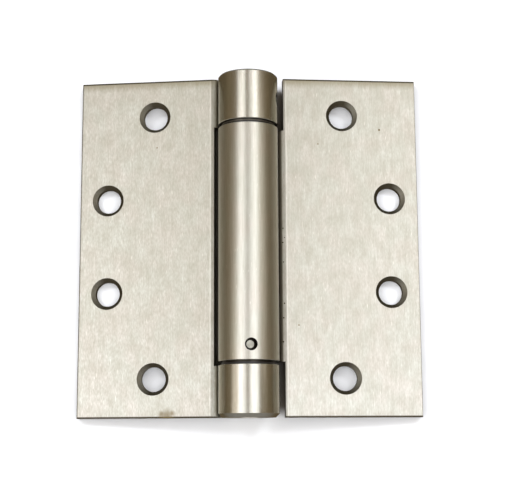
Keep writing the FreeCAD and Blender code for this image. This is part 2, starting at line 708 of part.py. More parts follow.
def torsion_spring(label):
    # A close wound spring with a tang across each end, left handed so that closing unwinds it
    body = new_body(label)
    sketch = new_sketch(body, label + "_wire", "XZ_Plane")
    radius = named("coil_radius")
    up = FreeCAD.Vector(0, 0, 1)
    section = Part.Circle(FreeCAD.Vector(radius[0], 0, 0), up, value_of("wire_radius"))
    wire = sketch.addGeometry(section, False)
    hold_point(sketch, wire, CENTRE, radius, None)
    size = Sketcher.Constraint("Radius", wire, value_of("wire_radius"))
    add_measure(sketch, size, cell("wire_radius"))
    document.recompute()
    coil = body.newObject("PartDesign::AdditiveHelix", label + "_coil")
    coil.Profile = sketch
    coil.ReferenceAxis = (sketch, ["V_Axis"])
    coil.Mode = "height-turns-angle"
    coil.LeftHanded = True
    bind(coil, "Height", cell("coil_height"))
    bind(coil, "Turns", cell("coil_turns"))
    document.recompute()
    top_azimuth = -value_of("coil_turns") * FULL_TURN
    for name, height, azimuth in (("low", 0.0, 0.0), ("high", value_of("coil_height"), top_azimuth)):
        outward = side_direction(azimuth)
        inward = FreeCAD.Rotation(FreeCAD.Vector(0, 0, 1), -outward)
        tang = body.newObject("PartDesign::AdditiveCylinder", "%s_tang_%s" % (label, name))
        bind(tang, "Radius", cell("tang_radius"))
        bind(tang, "Height", "%s + %s" % (cell("coil_radius"), cell("spigot_radius")))
        start = outward * radius[0] + FreeCAD.Vector(0, 0, height)
        tang.Placement = FreeCAD.Placement(start, inward)
        document.recompute()
    place(body, "coil_bottom", leaf_droop)
    document.recompute()
    return body


torsion_spring("torsion_spring")

turned_body(
    "spring_liner",
    [
        ("liner_inner_radius", None),
        ("liner_outer_radius", None),
        ("liner_outer_radius", "liner_length"),
        ("liner_inner_radius", "liner_length"),
    ],
    "liner_bottom",
)


# The anchor, its dowel and the bottom plug

spring_anchor = turned_body(
    "spring_anchor",
    [
        (None, None),
        ("journal_radius", None),
        ("journal_radius", "stub_length"),
        ("seat_radius", "stub_length"),
        ("seat_radius", "anchor_stub_step"),
        ("spigot_radius", "anchor_stub_step"),
        ("spigot_radius", "anchor_reach"),
        (None, "anchor_reach"),
    ],
    "anchor_bottom", leaf_droop,
)
chamfer_rings(spring_anchor, [("journal_radius", None), ("seat_radius", "anchor_stub_step")])
spigot_slot(spring_anchor, value_of("anchor_reach"))
radial_hole(
    spring_anchor, "spring_anchor_dowel_hole", "%s + %s" % (cell("dowel_radius"), cell("seat_play")),
    -QUARTER_TURN, value_of("dowel_height") - value_of("anchor_bottom"),
    value_of("dowel_inner_end"), bore_radius + CUT_MARGIN, -value_of("dowel_offset"),
)

anchor_dowel = document.addObject("Part::Cylinder", "anchor_dowel")
anchor_dowel.Label = "anchor_dowel"
bind(anchor_dowel, "Radius", cell("dowel_radius"))
bind(anchor_dowel, "Height", cell("dowel_length"))
# Upright, the dowel points to -Y from its inner end
dowel_start = FreeCAD.Vector(-value_of("dowel_offset"), -value_of("dowel_inner_end"), 0)
dowel_start.z = value_of("dowel_height")
dowel_forward = FreeCAD.Rotation(FreeCAD.Vector(1, 0, 0), QUARTER_TURN)
door_turn = FreeCAD.Placement(FreeCAD.Vector(), LAY_DOWN * spin(leaf_droop))
anchor_dowel.Placement = door_turn * FreeCAD.Placement(dowel_start, dowel_forward)
sub_parts.append(anchor_dowel)

bottom_tip = turned_body(
    "bottom_tip",
    [
        (None, None),
        ("seat_radius", None),
        ("seat_radius", "tip_thickness"),
        (None, "tip_thickness"),
    ],
    "tip_bottom",
)
chamfer_rings(bottom_tip, [("seat_radius", None)])


# Checks, then one file for each sub-part

document.recompute()
for feature in document.Objects:
    if "Invalid" in feature.State or "Error" in feature.State:
        raise RuntimeError("%s failed: %s" % (feature.Label, feature.getStatusString()))
for piece in sub_parts:
    shape = piece.Shape
    if shape.isNull() or not shape.isValid() or len(shape.Solids) != 1:
        raise RuntimeError("%s is not one valid solid" % piece.Label)

os.makedirs(PARTS_FOLDER, exist_ok=True)
for piece in sub_parts:
    piece.Shape.exportStep(os.path.join(PARTS_FOLDER, piece.Label + ".step"))
    print("%-16s %9.1f cubic mm" % (piece.Label, piece.Shape.Volume))
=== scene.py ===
"""Dress the spring loaded door hinge: its finishes, its wound spring and the studio."""
import math

import bmesh
import bpy
from bpy.props import FloatProperty, FloatVectorProperty, PointerProperty
from bpy.types import Operator, Panel, PropertyGroup
from mathutils import Matrix, Vector


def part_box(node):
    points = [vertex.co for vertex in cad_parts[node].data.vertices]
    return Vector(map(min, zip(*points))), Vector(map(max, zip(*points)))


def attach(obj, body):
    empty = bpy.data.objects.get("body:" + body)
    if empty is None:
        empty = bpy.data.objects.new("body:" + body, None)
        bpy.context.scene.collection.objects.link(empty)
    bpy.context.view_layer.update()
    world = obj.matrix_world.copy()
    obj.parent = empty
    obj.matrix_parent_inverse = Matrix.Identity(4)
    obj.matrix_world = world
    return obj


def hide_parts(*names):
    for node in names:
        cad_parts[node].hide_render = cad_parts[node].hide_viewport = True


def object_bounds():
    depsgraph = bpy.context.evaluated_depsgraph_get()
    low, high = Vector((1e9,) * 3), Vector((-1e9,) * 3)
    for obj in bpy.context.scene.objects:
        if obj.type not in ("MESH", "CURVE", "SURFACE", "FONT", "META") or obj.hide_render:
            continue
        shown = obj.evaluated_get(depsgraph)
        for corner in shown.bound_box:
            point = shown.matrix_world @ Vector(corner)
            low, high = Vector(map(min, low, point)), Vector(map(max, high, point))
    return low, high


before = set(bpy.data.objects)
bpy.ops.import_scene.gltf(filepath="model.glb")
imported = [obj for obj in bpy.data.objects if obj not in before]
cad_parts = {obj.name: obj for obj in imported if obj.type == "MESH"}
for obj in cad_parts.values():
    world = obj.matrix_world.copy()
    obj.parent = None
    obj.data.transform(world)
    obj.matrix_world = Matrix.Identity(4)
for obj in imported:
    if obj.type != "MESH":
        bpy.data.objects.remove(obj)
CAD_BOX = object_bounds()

bl_info = {
    "name": "Spring loaded door hinge finishes",
    "version": (1, 0, 0),
    "blender": (4, 5, 0),
    "location": "3D View > Sidebar > Hinge",
    "description": "Finishes the hinge, winds its spring and sets up the studio",
    "category": "Object",
}

MM = 0.001
LOW, HIGH = CAD_BOX

# Each leaf slopes down from the barrel to its outer edge by so many degrees
DROOP = 5.815974

# Distances from the pin line on a leaf, in millimetres
BARREL_INSIDE = 9.65
BARREL_SKIN = 10.05
BEND_STARTS = 10.2
THICK_GRIME_AND_SHADE_ENDS = 12.0
THIN_GRIME_AND_SHADE_ENDS = 12.9
BEND_CORNER = 12.95
PLATE_STARTS = 11.4
FILM_FULL = 11.0
FILM_THIN = 50.0

# Grime and painted shade fill the groove beside the barrel out to here, on the leaf
# with the short knuckles and on the leaf with the tube
KNUCKLE_GROOVE = 10.2
TUBE_GROOVE = 11.1

# How much the brushing darkens the plate of each of the two
KNUCKLE_LEAF_BRUSHED = 0.56
TUBE_LEAF_BRUSHED = 0.42

# The wound spring: its turns, and how many straight pieces draw one turn and one bend
TURNS = 22
STEPS_PER_TURN = 40
STEPS_PER_BEND = 10
WIRE_SIDES = 14

# Tints of the lamps, in red, green and blue: clear day, later day, and a warm room
DAY = (0.965, 0.985, 1.05)
LATE = (0.985, 0.995, 1.02)
WARM = (1.06, 1.0, 0.9)

# Each lamp by its angles from straight up, from and to, across and along the hinge, in
# degrees, how bright it is, its tint, and whether it shows in the metal. The last two
# light the paper alone.
LAMPS = (
    ("left_outer_near", (-38.3, -24), (-50, 8), 2.66, DAY, True),
    ("left_outer_far", (-38.3, -24), (8, 26), 2.0, LATE, True),
    ("left_inner_near", (-24, -9.4), (-50, 8), 1.56, DAY, True),
    ("left_inner_far", (-24, -9.4), (8, 42), 1.9, LATE, True),
    ("middle_near", (-9.4, 5.1), (-50, -12), 1.55, LATE, True),
    ("right_inner_near", (5.1, 20), (-50, 8), 2.18, DAY, True),
    ("right_inner_far", (5.1, 20), (8, 42), 1.05, LATE, True),
    ("right_outer_near", (20, 37.5), (-50, 8), 2.08, DAY, True),
    ("right_outer_far", (20, 37.5), (8, 42), 2.3, LATE, True),
    ("left_glow", (-64, -38.3), (-50, 8), 0.95, WARM, True),
    ("right_glow", (37.5, 68), (8, 26), 1.1, WARM, True),
    ("left_fill", (-48, -32), (22, 38), 20.0, DAY, False),
    ("right_fill", (32, 48), (22, 38), 20.0, DAY, False),
)

# The camera stands over the hinge, a little towards its lower end, in millimetres
CAMERA_STAND = (7.34, -63.89, 378.16)
CAMERA_AIM = (2.50, -1.25, 0.0)
CAMERA_ROLL = -0.005
CAMERA_LENS = 81.4
CAMERA_SENSOR = 36.0


def linear(colour):
    """Turn an sRGB hex colour such as #D9D4C6 into linear red, green and blue."""
    parts = [int(colour[i : i + 2], 16) / 255 for i in (1, 3, 5)]
    return tuple(
        part / 12.92 if part <= 0.04045 else ((part + 0.055) / 1.055) ** 2.4
        for part in parts
    )


def colour_setting(name, description, colour):
    """A colour that the user can change, from its sRGB hex value."""
    return FloatVectorProperty(
        name=name,
        description=description,
        default=linear(colour),
        subtype="COLOR",
        size=3,
        min=0.0,
        max=1.0,
    )


def length_setting(name, description, millimetres):
    """A length that the user can change, from its value in millimetres."""
    return FloatProperty(
        name=name,
        description=description,
        default=millimetres * MM,
        min=0.0,
        precision=5,
        subtype="DISTANCE",
        unit="LENGTH",
    )


def share_setting(name, description, share):
    """A share from 0 to 1 that the user can change."""
    return FloatProperty(
        name=name,
        description=description,
        default=share,
        min=0.0,
        max=1.0,
        subtype="FACTOR",
    )


class LeafFinish(PropertyGroup):
    """Satin nickel on the two leaves."""

    cool: colour_setting("Cool nickel", "Plating in its greener patches", "#DBDDD6")
    warm: colour_setting("Warm nickel", "Plating in its pinker patches", "#DFDCD6")
    groove: colour_setting("Brushed groove", "Plating down in the brush lines", "#A29D8C")
    # This colour is the real rubbed crests and also a painted highlight along the bend corner of
    # each plate
    crest_and_highlight: colour_setting("Bright crest", "Plating rubbed bright on the crests", "#F4F2EB")
    cut: colour_setting("Cut faces", "Duller plating on sheared and drilled faces", "#625C4D")
    # This colour is real grime and also painted shade: in the barrel's groove, bores and gaps, and
    # a painted shadow line along the plate edges
    grime_and_shade: colour_setting("Grime", "Old oil and dust in grooves, gaps and holes", "#3A3327")
    # This tan is partly tarnish and partly painted shade for the sheared top end rolling down
    tarnish_and_shade: colour_setting("Tarnish", "Thin tarnish along the top end of the leaves", "#8D8469")
    stain: colour_setting("Stain", "Dry tan stain at the lower end of a leaf", "#8C7B58")
    line_width: length_setting("Brush line width", "Width of one line of the brushing", 0.33)
    line_length: length_setting("Brush line length", "Length of one line of the brushing", 1.2)
    line_depth: length_setting("Brush line depth", "How deep the brushing looks", 0.005)
    leaf_rough: share_setting("Leaf roughness", "Roughness of the flat plates", 0.44)
    knuckle_rough: share_setting("Knuckle roughness", "Roughness of the short knuckles", 0.26)
    tube_rough: share_setting("Tube roughness", "Roughness of the long middle tube", 0.35)


class InnerFinish(PropertyGroup):
    """Steel and plastic of the inner pieces."""

    turned: colour_setting("Turned steel", "Bright steel as it leaves the lathe", "#B2B1A6")
    # This dark steel is painted shade: it darkens the lower washer and the spring anchor, in the
    # lower gap and round the dowel
    black: colour_setting("Blackened steel", "Turned steel blackened in hot oil", "#3A3631")
    washer: colour_setting("Washer steel", "Punched washers, grey with oil", "#77736B")
    wire: colour_setting("Spring wire", "Oil tempered wire", "#5A5650")
    oil: colour_setting("Oil film", "Brown oil on the wire", "#3C3226")
    nylon: colour_setting("Black nylon", "Moulded bushings", "#151413")
    sleeve: colour_setting("Grey sleeve", "Extruded liner", "#8B8B86")
    feed: length_setting("Lathe feed", "Distance between two turning marks", 0.16)


class SpringSize(PropertyGroup):
    """Size of the wound spring."""

    wire: length_setting("Wire diameter", "Thickness of the round wire", 2.4)
    coil: length_setting("Coil radius", "From the pin line to the middle of the wire", 4.7)
    bend: length_setting("Tang bend radius", "Bend where the wire turns in", 1.4)
    tang: length_setting("Tang thickness", "Thickness of the pressed tang", 2.2)
    past: length_setting("Tang past the pin line", "How far a tang goes on past it", 3.2)


class StudioSize(PropertyGroup):
    """Floor and lamps."""

    floor: length_setting("Floor width", "Side of the square floor", 5000.0)
    paper: colour_setting("Paper", "White paper under the hinge", "#F1F3F5")
    # A painted shadow colour for the paper strip under the barrel
    shade: colour_setting("Shade", "Paper close under the barrel, where no light comes", "#77726B")
    lamp_height: length_setting("Lamp height", "Height of the lamps over the hinge", 600.0)
    room: colour_setting("Room", "Dim room past the lamps", "#7F7056")


def add_node(tree, kind, inputs=None, out=0, **settings):
    """Add a node, set it, fill its inputs with values or links, and give one output."""
    node = tree.nodes.new(kind)
    for name, value in settings.items():
        setattr(node, name, value)
    for socket, value in (inputs or {}).items():
        if isinstance(value, bpy.types.NodeSocket):
            tree.links.new(value, node.inputs[socket])
        else:
            node.inputs[socket].default_value = value
    return node.outputs[out]


def solid(colour, share=1.0):
    """A colour setting with its alpha, darker where the share is under one."""
    return (*(part * share for part in colour), 1.0)


def new_material(name, **shader_values):
    """A material with one principled shader, and the place it is at on a piece."""
    material = bpy.data.materials.new(name)
    material.use_nodes = True
    tree = material.node_tree
    tree.nodes.clear()
    place = add_node(tree, "ShaderNodeTexCoord", out="Object")
    shader = add_node(tree, "ShaderNodeBsdfPrincipled", shader_values).node
    tree.links.new(
        shader.outputs[0], tree.nodes.new("ShaderNodeOutputMaterial").inputs["Surface"]
    )
    return material, tree, shader, place


def grain(tree, place, across, along, start, detail=2.0):
    """Cloudy grain with cells this long across and along the pin line, in metres."""
    cells = add_node(
        tree,
        "ShaderNodeMapping",
        {"Vector": place, "Location": start, "Scale": (1 / across, 1 / along, 1 / across)},
    )
    return add_node(
        tree, "ShaderNodeTexNoise", {"Vector": cells, "Scale": 1.0, "Detail": detail}
    )


def from_pin_line(tree, place):
    """The distance from the pin line and the place along it."""
    x, y, z = add_node(tree, "ShaderNodeSeparateXYZ", {0: place}).node.outputs
    across = add_node(tree, "ShaderNodeCombineXYZ", {0: x, 2: z})
    return add_node(tree, "ShaderNodeVectorMath", {0: across}, 1, operation="LENGTH"), y


# Marks of use on the leaves: middle in x and y, and radius, in millimetres
STAINS = ((-26.9, -56.4, 3.2), (-25.4, -55.6, 1.5), (-28.6, -55.9, 1.8))
SPECKS = ((44.6, 39.8, 0.45), (23.6, 34.5, 0.3), (-31.0, 33.8, 0.3), (16.5, -27.0, 0.3))
PITS = (
    (11.5, 5.4, 0.3),
    (12.0, 2.2, 0.25),
    (11.4, 0.6, 0.35),
    (11.6, -6.0, 0.3),
    (11.8, -19.8, 0.35),
    (11.5, -24.6, 0.35),
    (11.3, -32.5, 0.4),
)


def marks(tree, place, spots, soft):
    """One where a spot of the list is, and nought elsewhere, with this share of soft edge."""
    found = 0.0
    for x, y, radius in spots:
        aside = add_node(
            tree,
            "ShaderNodeMapping",
            {"Vector": place, "Location": (-x * MM, -y * MM, 0), "Scale": (1, 1, 0)},
        )
        far = add_node(tree, "ShaderNodeVectorMath", {0: aside}, 1, operation="LENGTH")
        spot = add_node(
            tree,
            "ShaderNodeMapRange",
            {0: far, 1: radius * MM, 2: radius * MM * (1 - soft)},
            interpolation_type="SMOOTHSTEP",
        )
        found = add_node(tree, "ShaderNodeMath", {0: spot, 1: found}, operation="MAXIMUM")
    return found


def leaf_film(tree, radius, along, plate):
    """Darkens a plate a little, most beside the barrel and less outwards, and not at its low end.
    """
    film = add_node(
        tree,
        "ShaderNodeMapRange",
        {0: radius, 1: FILM_FULL * MM, 2: FILM_THIN * MM, 3: 1.0, 4: 0.4},
    )
    clean = add_node(
        tree,
        "ShaderNodeMapRange",
        {0: along, 1: -52 * MM, 2: -22 * MM},
        interpolation_type="SMOOTHSTEP",
    )
    for share in (clean, plate):
        film = add_node(tree, "ShaderNodeMath", {0: film, 1: share}, operation="MULTIPLY")
    return film


def leaf_grime_and_shade(tree, place, radius, along, facing, plate, filled):
    """Grime and painted shade in the groove, gaps and holes of the barrel, and a painted shadow
    line round the edge of a plate.

    It fills the groove out to so many millimetres from the pin line.
    """
    # In the groove beside the barrel the darkening is grime and painted shade, and it thins out up
    # the bend of the plate
    groove = add_node(
        tree,
        "ShaderNodeMapRange",
        {0: radius, 1: THICK_GRIME_AND_SHADE_ENDS * MM, 2: filled * MM, 4: 0.8},
        interpolation_type="SMOOTHSTEP",
    )
    thin = add_node(
        tree,
        "ShaderNodeMapRange",
        {0: radius, 1: THIN_GRIME_AND_SHADE_ENDS * MM, 2: (THIN_GRIME_AND_SHADE_ENDS - 0.5) * MM, 4: 0.28},
    )
    groove = add_node(tree, "ShaderNodeMath", {0: groove, 1: thin}, operation="MAXIMUM")
    outside = add_node(
        tree, "ShaderNodeMapRange", {0: radius, 1: BARREL_SKIN * MM, 2: BEND_STARTS * MM}
    )
    groove = add_node(tree, "ShaderNodeMath", {0: groove, 1: outside}, operation="MULTIPLY")

    # Grime and painted shade lie in the bores and holes of the barrel as well, but not on its two
    # open ends
    inside = add_node(
        tree,
        "ShaderNodeMapRange",
        {0: radius, 1: (BARREL_INSIDE + 0.1) * MM, 2: BARREL_INSIDE * MM, 4: 0.8},
    )
    height = add_node(tree, "ShaderNodeMath", {0: along}, operation="ABSOLUTE")
    closed = add_node(
        tree, "ShaderNodeMapRange", {0: height, 1: HIGH.y - 1.4 * MM, 2: HIGH.y - 1.6 * MM}
    )
    inside = add_node(tree, "ShaderNodeMath", {0: inside, 1: closed}, operation="MULTIPLY")

    # A painted shadow line runs along both ends of the plates and along the left outer edge, on
    # their flat faces
    ends = add_node(
        tree, "ShaderNodeMapRange", {0: height, 1: HIGH.y - 0.7 * MM, 2: HIGH.y - 0.35 * MM}
    )
    across = add_node(tree, "ShaderNodeSeparateXYZ", {0: place})
    edge = add_node(
        tree, "ShaderNodeMapRange", {0: across, 1: LOW.x + 0.5 * MM, 2: LOW.x + 0.1 * MM}
    )
    painted_edge_shadow = add_node(tree, "ShaderNodeMath", {0: ends, 1: edge}, operation="MAXIMUM")
    flat = add_node(tree, "ShaderNodeMapRange", {0: facing, 1: 0.76, 2: 0.9})
    for share in (flat, plate):
        painted_edge_shadow = add_node(tree, "ShaderNodeMath", {0: painted_edge_shadow, 1: share}, operation="MULTIPLY")

    grime_and_shade = marks(tree, place, PITS, 0.5)
    for share in (groove, inside, painted_edge_shadow):
        grime_and_shade = add_node(tree, "ShaderNodeMath", {0: grime_and_shade, 1: share}, operation="MAXIMUM")
    return grime_and_shade


def satin_nickel(name, finish, roll_rough, brushed, filled):
    """Nickel plated steel, brushed along the pin line and left satin.

    The plate sends back a broad soft light with fine light and dark lines in it.
    The rolled barrel is smoother, so lamps show on it as long bright lines.
    The brushing darkens the plate by the share brushed, and grime with painted shade fills
    the groove beside the barrel out to so many millimetres from the pin line.
    """
    material, tree, shader, place = new_material(name, Metallic=1.0)
    radius, along = from_pin_line(tree, place)
    plate = add_node(
        tree,
        "ShaderNodeMapRange",
        {0: radius, 1: BEND_STARTS * MM, 2: PLATE_STARTS * MM},
        interpolation_type="SMOOTHSTEP",
    )

    # Real brush lines are about 0.05 mm wide, too fine to show, so they are drawn wider
    width, length = finish.line_width, finish.line_length
    lines = grain(tree, place, width, length, (0, 0, 0))
    long_lines = grain(tree, place, width * 1.2, length * 6, (7, 3, 5), 1.0)
    # Clouds in the plating: brighter and duller about 4 mm across, and its hue 8 mm across
    clouds = grain(tree, place, 3 * MM, 5.5 * MM, (2, 9, 4), 3.0)
    hue = grain(tree, place, 7 * MM, 9 * MM, (5, 1, 8), 3.0)
    # Mostly long lines are left on the barrel, which was polished after rolling
    on_plate = add_node(tree, "ShaderNodeMapRange", {0: plate, 3: 0.2})
    calmed = []
    for pattern in (lines, clouds):
        swing = add_node(tree, "ShaderNodeMath", {0: pattern, 1: -0.5}, operation="ADD")
        calmed.append(
            add_node(
                tree,
                "ShaderNodeMath",
                {0: swing, 1: on_plate, 2: 0.5},
                operation="MULTIPLY_ADD",
            )
        )
    short_lines, mottle = calmed

    # Each layer of the finish has the share that it covers and its colour.
    # Four patterns darken the plating, each from one value to another, and by how much.
    layers = []
    for pattern, low, high, most in (
        (short_lines, 0.75, 0.25, brushed),
        (long_lines, 0.75, 0.25, 0.3),
        (mottle, 0.68, 0.32, 0.34),
        (leaf_film(tree, radius, along, plate), 0.0, 1.0, 0.22),
    ):
        share = add_node(tree, "ShaderNodeMapRange", {0: pattern, 1: low, 2: high, 4: most})
        layers.append((share, finish.groove))

    # A few crests are rubbed bright
    crests = grain(tree, place, width * 1.1, length * 2, (1, 6, 2), 0.0)
    rubbed = add_node(
        tree,
        "ShaderNodeMapRange",
        {0: crests, 1: 0.75, 2: 0.88, 4: 0.4},
        interpolation_type="SMOOTHSTEP",
    )
    layers.append((rubbed, finish.crest_and_highlight))

    # Sheared edges and countersinks, which stand steep to the plate, are duller
    facing = add_node(tree, "ShaderNodeTexCoord", out="Normal")
    facing = add_node(tree, "ShaderNodeSeparateXYZ", {0: facing}, 2)
    facing = add_node(tree, "ShaderNodeMath", {0: facing}, operation="ABSOLUTE")
    steep = add_node(tree, "ShaderNodeMapRange", {0: facing, 1: 0.76, 2: 0.67})
    steep = add_node(tree, "ShaderNodeMath", {0: steep, 1: plate}, operation="MULTIPLY")
    layers.append((steep, finish.cut))

    # A painted highlight runs along the corner where a plate turns into its bend
    near = add_node(
        tree, "ShaderNodeMath", {0: radius, 1: BEND_CORNER * MM}, operation="SUBTRACT"
    )
    near = add_node(tree, "ShaderNodeMath", {0: near}, operation="ABSOLUTE")
    worn = add_node(tree, "ShaderNodeMapRange", {0: near, 1: 0.3 * MM, 2: 0.1 * MM, 4: 0.6})
    worn = add_node(tree, "ShaderNodeMath", {0: worn, 1: long_lines}, operation="MULTIPLY")
    layers.append((worn, finish.crest_and_highlight))

    # Tarnish and painted shade along the last 4 mm of a plate at the top end, standing for the
    # sheared end rolling down
    top = add_node(
        tree,
        "ShaderNodeMapRange",
        {0: along, 1: HIGH.y - 3.8 * MM, 2: HIGH.y - 0.1 * MM, 4: 0.72},
        interpolation_type="SMOOTHSTEP",
    )
    top = add_node(tree, "ShaderNodeMath", {0: top, 1: plate}, operation="MULTIPLY")
    layers.append((top, finish.tarnish_and_shade))

    # Grime with painted shade in the groove, bores and holes, and a painted shadow line at the
    # plate edges
    grime_and_shade = leaf_grime_and_shade(tree, place, radius, along, facing, plate, filled)
    layers.append((grime_and_shade, finish.grime_and_shade))

    stain = marks(tree, place, STAINS, 0.9)
    stain = add_node(tree, "ShaderNodeMath", {0: stain, 1: 0.6}, operation="MULTIPLY")
    specks = marks(tree, place, SPECKS, 0.5)
    spoiled = add_node(tree, "ShaderNodeMath", {0: stain, 1: specks}, operation="MAXIMUM")
    layers.append((spoiled, finish.stain))

    share = add_node(
        tree, "ShaderNodeMapRange", {0: hue, 1: 0.35, 2: 0.65}, interpolation_type="SMOOTHSTEP"
    )
    colours = {0: share, 6: solid(finish.cool), 7: solid(finish.warm)}
    colour = add_node(tree, "ShaderNodeMix", colours, 2, data_type="RGBA")
    for share, over in layers:
        colours = {0: share, 6: colour, 7: solid(over)}
        colour = add_node(tree, "ShaderNodeMix", colours, 2, data_type="RGBA")
    tree.links.new(colour, shader.inputs["Base Color"])

    # Brush lines scatter less on their crests, cut faces more, and the stain more again
    rough = add_node(tree, "ShaderNodeMix", {0: plate, 2: roll_rough, 3: finish.leaf_rough})
    rough = add_node(tree, "ShaderNodeMath", {0: rough, 1: 0.06}, operation="ADD")
    for share, more in ((short_lines, -0.12), (steep, 0.1), (spoiled, 0.3)):
        rough = add_node(
            tree, "ShaderNodeMath", {0: share, 1: more, 2: rough}, operation="MULTIPLY_ADD"
        )
    tree.links.new(rough, shader.inputs["Roughness"])

    height = add_node(tree, "ShaderNodeMath", {0: long_lines, 1: on_plate}, operation="MULTIPLY")
    relief = add_node(
        tree,
        "ShaderNodeBump",
        {"Strength": 1.0, "Distance": finish.line_depth, "Height": height},
    )
    tree.links.new(relief, shader.inputs["Normal"])
    return material


def finish_with(tree, shader, pattern, colours, roughs, relief, height):
    """Give a shader two colours and two roughnesses by a pattern, and a relief."""
    share = add_node(
        tree, "ShaderNodeMapRange", {0: pattern, 1: 0.35, 2: 0.65}, interpolation_type="SMOOTHSTEP"
    )
    colour = add_node(
        tree, "ShaderNodeMix", {0: share, 6: colours[0], 7: colours[1]}, 2, data_type="RGBA"
    )
    rough = add_node(tree, "ShaderNodeMix", {0: share, 2: roughs[0], 3: roughs[1]})
    bump = add_node(
        tree, "ShaderNodeBump", {"Strength": 1.0, "Distance": height, "Height": relief}
    )
    tree.links.new(colour, shader.inputs["Base Color"])
    tree.links.new(rough, shader.inputs["Roughness"])
    tree.links.new(bump, shader.inputs["Normal"])


def turned_steel(name, finish, colour, rough):
    """Steel turned on a lathe: fine rings round the pin line, and a light haze of oil."""
    material, tree, shader, place = new_material(name, Metallic=1.0)
    # A mark of the tool at each turn, by radius on the ends and by height on the sides
    radius, along = from_pin_line(tree, place)
    turns = add_node(tree, "ShaderNodeCombineXYZ", {0: radius, 1: along})
    rings = grain(tree, turns, finish.feed, finish.feed, (0, 0, 0))
    haze = grain(tree, place, 3 * MM, 3 * MM, (1, 2, 3))
    colours = solid(colour), solid(colour, 0.7)
    finish_with(tree, shader, haze, colours, (rough, rough + 0.12), rings, 0.008 * MM)
    return material


def spring_wire(name, finish):
    """Oil tempered spring wire: a dark grey skin with brown oil lying in patches."""
    material, tree, shader, place = new_material(name, Metallic=1.0)
    patches = grain(tree, place, 2 * MM, 2 * MM, (4, 1, 6), 3.0)
    grit = grain(tree, place, 0.25 * MM, 0.25 * MM, (0, 5, 2))
    colours = solid(finish.wire), solid(finish.oil)
    finish_with(tree, shader, patches, colours, (0.42, 0.22), grit, 0.008 * MM)
    return material


def moulded_nylon(name, finish):
    """Moulded nylon: a satin black plastic with the spark eroded grain of its mould."""
    material, tree, shader, place = new_material(name, Metallic=0.0, IOR=1.53)
    worn = grain(tree, place, 3 * MM, 3 * MM, (8, 1, 1))
    spark = grain(tree, place, 0.18 * MM, 0.18 * MM, (3, 3, 1))
    colours = solid(finish.nylon), solid(finish.nylon, 1.6)
    finish_with(tree, shader, worn, colours, (0.5, 0.38), spark, 0.01 * MM)
    return material


def extruded_sleeve(name, finish):
    """Extruded plastic tube: dull grey, with faint die lines along its length."""
    material, tree, shader, place = new_material(name, Metallic=0.0, IOR=1.5)
    die_lines = grain(tree, place, 0.3 * MM, 40 * MM, (1, 1, 9))
    colours = solid(finish.sleeve), solid(finish.sleeve, 0.8)
    finish_with(tree, shader, die_lines, colours, (0.44, 0.54), die_lines, 0.01 * MM)
    return material


def finish_nodes(material, *names):
    """Put a material in every slot of the named nodes."""
    for name in names:
        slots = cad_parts[name].material_slots
        if not slots:
            raise RuntimeError(f"{name} has no material slot")
        for slot in slots:
            slot.material = material


def let_go():
    """Leave edit mode and deselect everything."""
    if bpy.context.mode != "OBJECT":
        bpy.ops.object.mode_set(mode="OBJECT")
    bpy.ops.object.select_all(action="DESELECT")


def select_end(mesh, low_end):
    """Select the open ring of edges at the low or the high end of the wire."""
    edit = bmesh.from_edit_mesh(mesh)
    heights = [vertex.co.y for vertex in edit.verts]
    middle = (min(heights) + max(heights)) / 2
    bpy.ops.mesh.select_all(action="DESELECT")
    for edge in edit.edges:
        ends_low = edge.verts[0].co.y < middle
        if edge.is_boundary and ends_low == low_end:
            edge.select_set(True)
    bmesh.update_edit_mesh(mesh)


class HINGE_OT_leaves(Operator):
    """Brushed satin nickel on the two leaves and the tip that closes the barrel"""

    bl_idname = "hinge.leaves"
    bl_label = "Finish the leaves"

    def execute(self, context):
        finish = context.scene.hinge_leaf
        knuckles = satin_nickel(
            "Brushed satin nickel with polished knuckles",
            finish,
            finish.knuckle_rough,
            KNUCKLE_LEAF_BRUSHED,
            KNUCKLE_GROOVE,
        )
        tube = satin_nickel(
            "Brushed satin nickel with a satin tube",
            finish,
            finish.tube_rough,
            TUBE_LEAF_BRUSHED,
            TUBE_GROOVE,
        )
        finish_nodes(knuckles, "frame_leaf", "bottom_tip")
        finish_nodes(tube, "door_leaf")
        return {"FINISHED"}


class HINGE_OT_turned(Operator):
    """Turned steel on the hub, the washers, the spring anchor and its dowel"""

    bl_idname = "hinge.turned"
    bl_label = "Finish the turned pieces"

    def execute(self, context):
        finish = context.scene.hinge_inner
        bright = turned_steel("Turned bright steel", finish, finish.turned, 0.3)
        # The lower washer and the spring anchor get dark steel as painted shade in the lower gap
        # and round the dowel; the upper washer stays grey
        black = turned_steel("Turned steel darkened as painted shade", finish, finish.black, 0.34)
        oiled = turned_steel("Punched washer steel, oiled", finish, finish.washer, 0.42)
        finish_nodes(bright, "tension_hub", "anchor_dowel")
        finish_nodes(black, "spring_anchor", "lower_washer")
        finish_nodes(oiled, "upper_washer")
        return {"FINISHED"}


class HINGE_OT_plastics(Operator):
    """Black nylon bushings and the grey sleeve round the spring"""

    bl_idname = "hinge.plastics"
    bl_label = "Finish the bushings and sleeve"

    def execute(self, context):
        finish = context.scene.hinge_inner
        finish_nodes(
            moulded_nylon("Moulded black nylon", finish), "upper_bushing", "lower_bushing"
        )
        finish_nodes(extruded_sleeve("Extruded grey sleeve", finish), "spring_liner")
        return {"FINISHED"}


